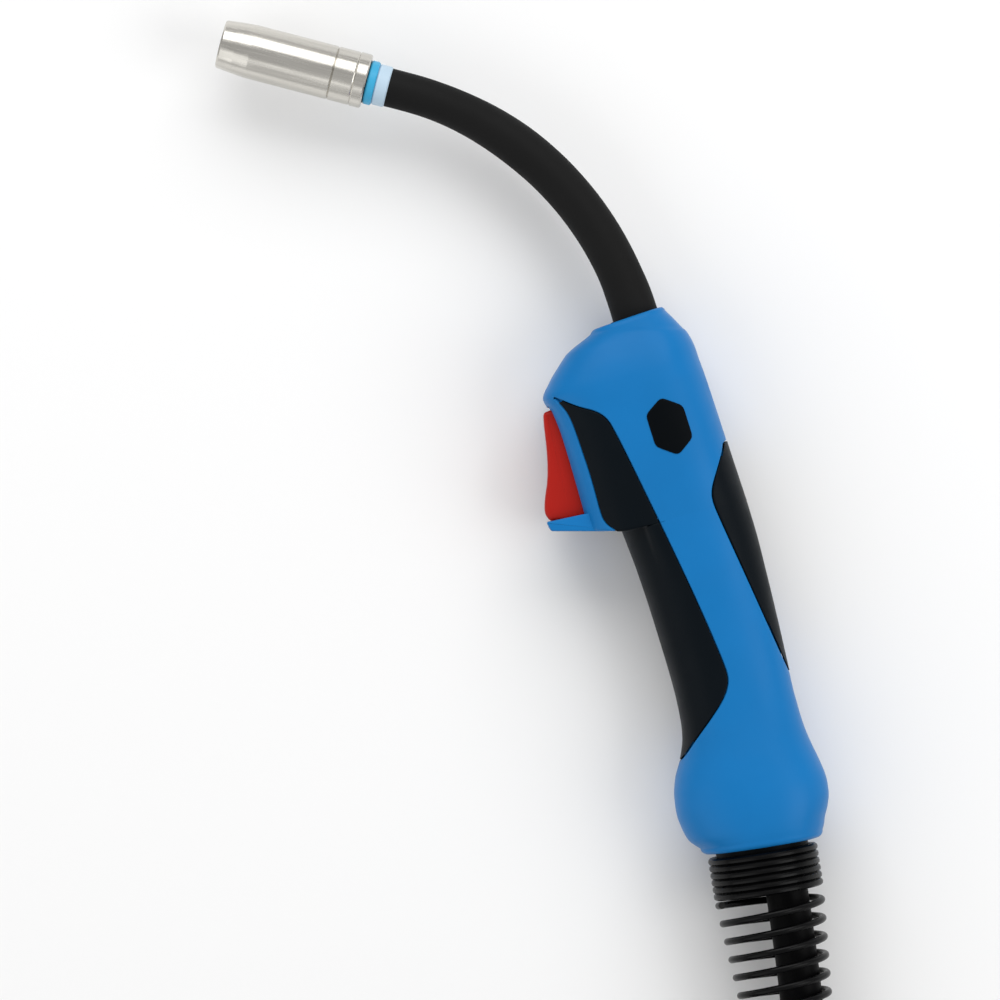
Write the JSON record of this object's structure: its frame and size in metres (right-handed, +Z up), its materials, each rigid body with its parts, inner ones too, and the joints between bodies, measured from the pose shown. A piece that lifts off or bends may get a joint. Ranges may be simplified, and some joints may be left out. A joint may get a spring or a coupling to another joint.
{
  "type": "mig welding torch",
  "caption": "Hand-held MIG welding torch: nickel nozzle on a black swan neck, two-shell blue handle with soft inlays and red trigger, sprung cable outlet, coiled cable and central connector.",
  "frame": {"origin": "bottom centre of the torch without its cable, as it lies on its side", "axes": "+Z up, across the handle; +Y along the grip towards the neck; +X towards the back of the handle, away from the trigger"},
  "size_m": [0.247, 0.6412, 0.0714],
  "materials": {
    "handle_blue": "blue moulded plastic, fine satin texture",
    "soft_grip": "black soft-touch inlay, matte",
    "trigger_red": "red moulded plastic, satin",
    "nickel_plate": "satin nickel plating with turned streaks",
    "cyan_plastic": "cyan silicone ring, satin",
    "white_plastic": "white insulating plastic",
    "dark_plastic": "black glass-filled nylon",
    "neck_black": "black silicone sleeve, satin",
    "black_spring": "blackened spring steel, satin",
    "cable_black": "black rubber cable sheath",
    "soft_black": "black rubber",
    "connector_plastic": "black moulded plastic",
    "brass": "turned brass",
    "copper": "turned copper alloy",
    "spring_steel": "bright spring steel",
    "zinc_screw": "zinc-plated steel",
    "lead_red": "red lead insulation",
    "strap": "black hook-and-loop strap"
  },
  "bodies": {
    "torch": {"cable_coil": "cable_black", "cable_crimp_sleeve": "brass", "cable_in_handle": "cable_black", "cable_run": "cable_black", "cable_tail": "cable_black", "cable_union_block": "brass", "coil_strap_a": "strap", "coil_strap_b": "strap", "connector_bend_sleeve": "soft_black", "connector_body": "brass", "connector_face": "dark_plastic", "connector_housing": "connector_plastic", "connector_liner_nut": "brass", "connector_main_pin": "brass", "connector_screws": "zinc_screw", "contact_tip": "copper", "cyan_seal_ring": "cyan_plastic", "gas_diffuser": "brass", "gas_nipple": "brass", "gas_nipple_o_ring": "soft_black", "grip_inlay_front_left": "soft_grip", "grip_inlay_front_right": "soft_grip", "grip_inlay_rear_left": "soft_grip", "grip_inlay_rear_right": "soft_grip", "handle_screws": "zinc_screw", "handle_shell_left": "handle_blue", "handle_shell_right": "handle_blue", "microswitch_body": "dark_plastic", "neck_sleeve": "neck_black", "neck_tube": "copper", "neck_union_nut": "brass", "nozzle_insulator": "dark_plastic", "nozzle_retaining_ring": "spring_steel", "switch_leads": "lead_red", "trigger_pivot_pin": "spring_steel", "trigger_spring": "spring_steel", "white_insulator_collar": "white_plastic", "wire_liner": "spring_steel"},
    "nozzle": {"gas_nozzle": "nickel_plate"},
    "trigger": {"trigger": "trigger_red"},
    "switch_plunger": {"microswitch_plunger": "white_plastic"},
    "cable_swivel": {"knuckle_ball": "dark_plastic", "cable_support_spring": "black_spring", "cable_in_spring": "cable_black"},
    "collar_nut": {"connector_collar_nut": "connector_plastic"},
    "pin_a": {"control_pin_a": "brass"},
    "pin_b": {"control_pin_b": "brass"}
  },
  "joints": [
    {"name": "trigger_press", "type": "hinge", "parent": "torch", "child": "trigger", "pos_m": [0.01616, 0.00658, 0.02199], "axis": [0, 0, 1], "range_deg": [0, 7], "stiffness_Nm_per_rad": 0.9, "springref_deg": -8.59, "deforming": ["trigger_spring"]},
    {"name": "switch_plunger_slide", "type": "slide", "parent": "torch", "child": "switch_plunger", "axis": [1, 0, 0], "range_m": [0, 0.0015]},
    {"name": "nozzle_pull_off", "type": "slide", "parent": "torch", "child": "nozzle", "axis": [-0.8738, 0.4863, 0], "range_m": [0, 0.014]},
    {"name": "cable_swing", "type": "hinge", "parent": "torch", "child": "cable_swivel", "pos_m": [0.04591, -0.14297, 0.02199], "axis": [0, 0, 1], "range_deg": [-5, 5], "deforming": ["cable_in_handle", "cable_run"]},
    {"name": "collar_nut_turn", "type": "hinge", "parent": "torch", "child": "collar_nut", "pos_m": [-0.12699, -0.28816, 0.05042], "axis": [0.1045, 0.9945, 0], "continuous": true},
    {"name": "control_pin_a_press", "type": "slide", "parent": "torch", "child": "pin_a", "axis": [-0.1045, -0.9945, 0], "range_m": [0, 0.0025], "stiffness_N_per_m": 400, "springref_m": -0.002},
    {"name": "control_pin_b_press", "type": "slide", "parent": "torch", "child": "pin_b", "axis": [-0.1045, -0.9945, 0], "range_m": [0, 0.0025], "stiffness_N_per_m": 400, "springref_m": -0.002}
  ],
  "couplings": [
    {"joint": "switch_plunger_slide", "follows": "trigger_press", "m_per_rad": 0.0115}
  ]
}
